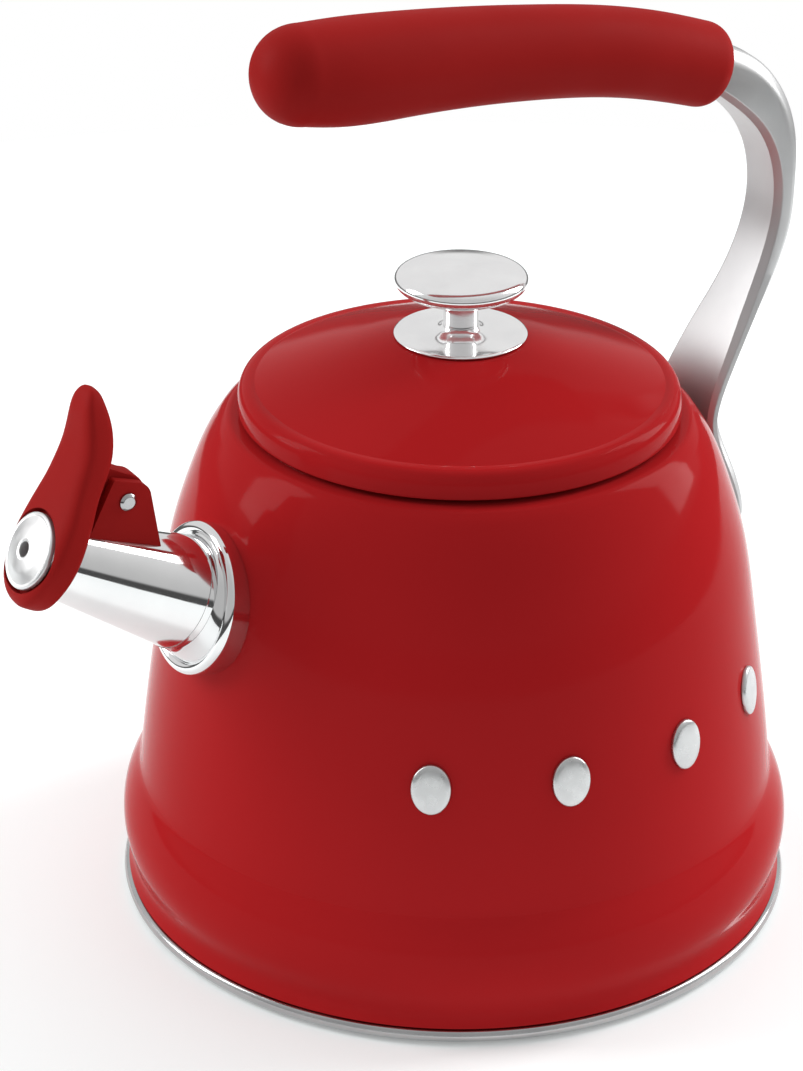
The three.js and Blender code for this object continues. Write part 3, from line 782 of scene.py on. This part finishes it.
# Down the arm's inner face: x, z, half width, thickness, and how far it wraps the wall.
ARM_STATIONS = [
    (-30, 227.4, 5, 6, 0), (5, 226.2, 5, 6, 0), (36, 221.8, 5, 6, 0), (60, 216, 5, 8, 0),
    (71, 210.6, 6.8, 12.2, 0), (79.6, 204.2, 8, 13.8, 0), (86.4, 197.4, 8, 12.4, 0),
    (90.8, 189.2, 8, 10.2, 0), (92.6, 180, 8, 8.4, 0), (92, 171, 8, 8.5, 0),
    (89.5, 162, 8.2, 8.2, 0), (85.4, 152.6, 9, 7.4, 0), (80.4, 143.2, 10.4, 6.2, 0),
    (75.4, 133.4, 11.6, 5.4, 0.1),
    (71.9, 124.8, 12.6, 5, 0.4), (70.9, 118.6, 14, 4.8, 0.8), (71.9, 113, 17, 4.5, 1),
    (73.8, 107, 20.3, 4.4, 1), (75.5, 100.6, 22.6, 4.3, 1), (76.5, 96, 22.4, 4.2, 1),
    (77.2, 92.6, 20, 4.1, 1), (77.7, 90.2, 15, 4, 1), (78, 88.9, 6, 3.8, 1),
]
FOOT_GAP = 0.25  # between the arm's foot and the wall


def directions(stations):
    """The unit direction, in x and z, at each of a run of stations."""
    run = np.array([s[:2] for s in stations], float)
    along = np.gradient(run, axis=0)
    return along / np.linalg.norm(along, axis=1)[:, None]


def arm_outline(half, thickness):
    """A flat inner face, a bright chamfer, and a full back."""
    edge, back = min(2, 0.3 * thickness), min(3.4, 0.6 * thickness, 0.5 * half)
    right = rounded([
        (0, 0), (half - edge, 0, 0.3), (half, 0.8 * edge, 0.5), (half, 0.5 * thickness),
        (half - 0.12 * back, thickness - back, 4), (half - back, thickness - 0.1 * back, back),
        (0, thickness),
    ], 7)
    return [*right, *[(-y, h) for y, h in reversed(right[1:-1])]]


def handle_arm():
    """The steel arm, whose foot widens and bends round the wall."""
    stations = spline(ARM_STATIONS, 230)
    rings = []
    for (x, z, half, thickness, wrap), along in zip(stations, directions(stations)):
        ring = []
        for y, h in arm_outline(half, thickness):
            lift = h - max(wrap, 0) * y * y / (2 * wall_radius(min(z, WALL[-1][1])))
            px, pz = x - along[1] * lift, z + along[0] * lift
            if pz < WALL[-1][1]:
                clear = wall_radius(pz) + FOOT_GAP
                px = max(px, math.sqrt(clear * clear - y * y))
            ring.append((px, y, pz))
        rings.append(ring)
    return mesh_object("handle_arm_steel", lofted(rings))


def unwrap_upright(obj):
    """A UV map in units of 0.1 m, whose U runs up the piece and whose V runs across it."""
    per_metre = 10
    uv = obj.data.uv_layers.new(name="upright")
    for loop in obj.data.loops:
        place = obj.data.vertices[loop.vertex_index].co
        uv.data[loop.index].uv = (place.z * per_metre, place.y * per_metre + place.x)


arm = handle_arm()
unwrap_upright(arm)
finish_piece(arm, KETTLE, "satin_arm_steel", ARM, "handle_arm")

# ---------------------------------------------------------------- grip

# Along the grip's centre line, from the free front end to the rear: x, z, radius.
GRIP_STATIONS = [
    (-46, 232.86, 12.4), (-36, 231.86, 13.14), (-18, 230.9, 12.9), (0, 229.7, 12.3),
    (20, 227.6, 11.8), (40, 224.6, 11.5), (58, 220.3, 11.3), (70.6, 216.3, 11.1),
]


def handle_grip():
    """A round grip with a full blunt nose and a rear end with a softly rounded edge."""
    body = spline(GRIP_STATIONS, 90)
    start, end = body[0], body[-1]
    nose = []
    for t in np.linspace(0.02, 1, 30)[:-1] * math.pi / 2:
        bulge = math.sin(t) ** 0.86
        nose.append((start[0] - 12 * math.cos(t), start[1] + 0.9 * math.cos(t), start[2] * bulge))
    rear = []
    along = directions(body)[-1]
    for t in np.linspace(0, 1, 12)[1:] * math.pi / 2:
        out, inward = 4.5 * math.sin(t), 3.2 * (1 - math.cos(t))
        rear.append((end[0] + along[0] * out, end[1] + along[1] * out, end[2] - inward))
    stations = [*nose, *body, *rear]
    facets = 80
    rings = []
    for (x, z, radius), way in zip(stations, directions(stations)):
        ring = []
        for k in range(facets):
            turn = 2 * math.pi * k / facets
            lift = radius * math.cos(turn)
            ring.append((x - way[1] * lift, radius * math.sin(turn), z + way[0] * lift))
        rings.append(ring)
    return mesh_object("handle_grip_skin", lofted(rings), sharp=60)


finish_piece(handle_grip(), KETTLE, "red_soft_touch", SOFT, "handle_grip")

# ---------------------------------------------------------------- studs on the wall

STUD_ACROSS, STUD_UP = 5, 6.6  # half its width and half its height
STUD_LEAN = math.radians(8)  # the wall's slope there
# From the wall outwards: how much wider than its outline, and how high.
STUD_EDGE = [(0, 0), (0, 0.55), (-0.12, 0.85), (-0.4, 1.05), (-1.4, 1.2), (-3, 1.32)]


def badge(number):
    """A plain domed oval stud with a bevelled edge, flat on the wall."""
    node = f"badge_{number}"
    low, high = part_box(node)
    middle = (low + high) / 2 / MM
    azimuth = math.atan2(middle.y, middle.x)
    rings = []
    for grow, height in STUD_EDGE:
        across, up = STUD_ACROSS + grow, STUD_UP + grow
        rings.append([
            (across * math.cos(t), height, up * math.sin(t))
            for t in np.linspace(0, 2 * math.pi, 65)[:-1]
        ])
    reach = wall_radius(middle.z) + 0.02
    place = (
        Matrix.Translation((reach * math.cos(azimuth), reach * math.sin(azimuth), middle.z))
        @ Matrix.Rotation(azimuth - math.pi / 2, 4, "Z")
        @ Matrix.Rotation(STUD_LEAN, 4, "X")
    )
    obj = mesh_object(f"wall_stud_{number}", lofted(rings), place)
    return finish_piece(obj, KETTLE, "satin_steel", SATIN, node)


for number in range(1, 5):
    badge(number)

# ---------------------------------------------------------------- CAD nodes that stay as they are

for name, material in {
    "base_core": ALUMINIUM, "grip_core": PLASTIC, "handle_screw_1": SATIN, "handle_screw_2": SATIN,
    "handle_backing_plate": SATIN,
}.items():
    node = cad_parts[name]
    node.data.materials.clear()
    node.data.materials.append(material)

# ---------------------------------------------------------------- studio

FLOOR_R = 600
FLOOR_Z = -0.02
CAMERA_PLACE = Vector((-0.4214, -0.6743, 0.4949))
CAMERA_HEADING = math.radians(59.056)
CAMERA_DIP = math.radians(26.491)
CAMERA_ROLL = math.radians(0.3788)
CAMERA_LENS, CAMERA_SENSOR = 113.9, 36


def camera():
    """The camera, where the photograph was taken from."""
    data = bpy.data.cameras.new("camera")
    data.lens = CAMERA_LENS
    data.sensor_width = CAMERA_SENSOR
    forward = Vector((
        math.cos(CAMERA_DIP) * math.cos(CAMERA_HEADING),
        math.cos(CAMERA_DIP) * math.sin(CAMERA_HEADING),
        -math.sin(CAMERA_DIP),
    ))
    level = Vector((math.sin(CAMERA_HEADING), -math.cos(CAMERA_HEADING), 0))
    up = level.cross(forward)
    right = level * math.cos(CAMERA_ROLL) + up * math.sin(CAMERA_ROLL)
    above = up * math.cos(CAMERA_ROLL) - level * math.sin(CAMERA_ROLL)
    obj = bpy.data.objects.new("camera", data)
    turn = Matrix((right, above, -forward)).transposed().to_4x4()
    obj.matrix_world = Matrix.Translation(CAMERA_PLACE) @ turn
    bpy.context.scene.collection.objects.link(obj)
    bpy.context.scene.camera = obj


def softbox(name, azimuth, elevation, size, radiance):
    """An area light of an even brightness, which faces the kettle from a direction."""
    distance, target = 1.1, Vector((0, 0, 0.1))
    data = bpy.data.lights.new(name, "AREA")
    data.shape = "RECTANGLE"
    data.size, data.size_y = size
    data.energy = radiance * math.pi * size[0] * size[1]
    turn, rise = math.radians(azimuth), math.radians(elevation)
    way = Vector((math.cos(rise) * math.cos(turn), math.cos(rise) * math.sin(turn), math.sin(rise)))
    obj = bpy.data.objects.new(name, data)
    obj.location = target + way * distance
    obj.rotation_euler = way.to_track_quat("Z", "Y").to_euler()
    bpy.context.scene.collection.objects.link(obj)


def floor():
    """A round white table top, which glows a little so that it stays white."""
    obj = mesh_object("floor", turned([(0, FLOOR_Z), (FLOOR_R, FLOOR_Z)], 96, closed=False))
    paper = Finish("pale_floor", Roughness=0.9, Specular_IOR_Level=0.1, Emission_Strength=0.18)
    paper.surface.inputs["Emission Color"].default_value = (1, 1, 1, 1)
    paper.colour(paper.noise(4), (0.85, 0.885, 0.885), (0.87, 0.905, 0.905))
    obj.data.materials.append(paper.material)


class Sky:
    """The world's nodes, with a few helpers to set its brightness by direction."""

    def __init__(self):
        world = bpy.data.worlds.new("studio")
        bpy.context.scene.world = world
        world.use_nodes = True
        self.nodes, self.links = world.node_tree.nodes, world.node_tree.links
        self.way = self.nodes.new("ShaderNodeTexCoord").outputs["Generated"]

    def along(self, direction, near, far, from_value, to_value):
        """A brightness that goes from one value to the other as a view nears a direction."""
        dot = self.nodes.new("ShaderNodeVectorMath")
        dot.operation = "DOT_PRODUCT"
        dot.inputs[1].default_value = Vector(direction).normalized()
        self.links.new(self.way, dot.inputs[0])
        fade = self.nodes.new("ShaderNodeMapRange")
        fade.interpolation_type = "SMOOTHSTEP"
        fade.inputs["From Min"].default_value = near
        fade.inputs["From Max"].default_value = far
        fade.inputs["To Min"].default_value = from_value
        fade.inputs["To Max"].default_value = to_value
        self.links.new(dot.outputs["Value"], fade.inputs["Value"])
        return fade.outputs["Result"]

    def product(self, first, second):
        node = self.nodes.new("ShaderNodeMath")
        node.operation = "MULTIPLY"
        self.links.new(first, node.inputs[0])
        self.links.new(second, node.inputs[1])
        return node.outputs["Value"]


def surroundings():
    """A pale room, dim where the camera stands and below the horizon, and white to the camera."""
    sky = Sky()
    front = sky.along((-0.5, -0.84, 0.1), near=-0.2, far=0.8, from_value=1, to_value=0.66)
    height = sky.along((0, 0, 1), near=-0.02, far=0.07, from_value=0.11, to_value=0.8)
    seen = sky.nodes.new("ShaderNodeMix")
    path = sky.nodes.new("ShaderNodeLightPath")
    sky.links.new(path.outputs["Is Camera Ray"], seen.inputs["Factor"])
    sky.links.new(sky.product(front, height), seen.inputs["A"])
    seen.inputs["B"].default_value = 1.0
    background = sky.nodes["Background"]
    background.inputs["Color"].default_value = (1, 1, 1, 1)
    sky.links.new(seen.outputs["Result"], background.inputs["Strength"])


camera()
floor()
surroundings()
softbox("left_box", azimuth=144, elevation=26, size=(0.36, 0.76), radiance=7)
softbox("right_box", azimuth=-9, elevation=28, size=(0.4, 0.9), radiance=8)

scene = bpy.context.scene
scene.view_settings.view_transform = "Standard"
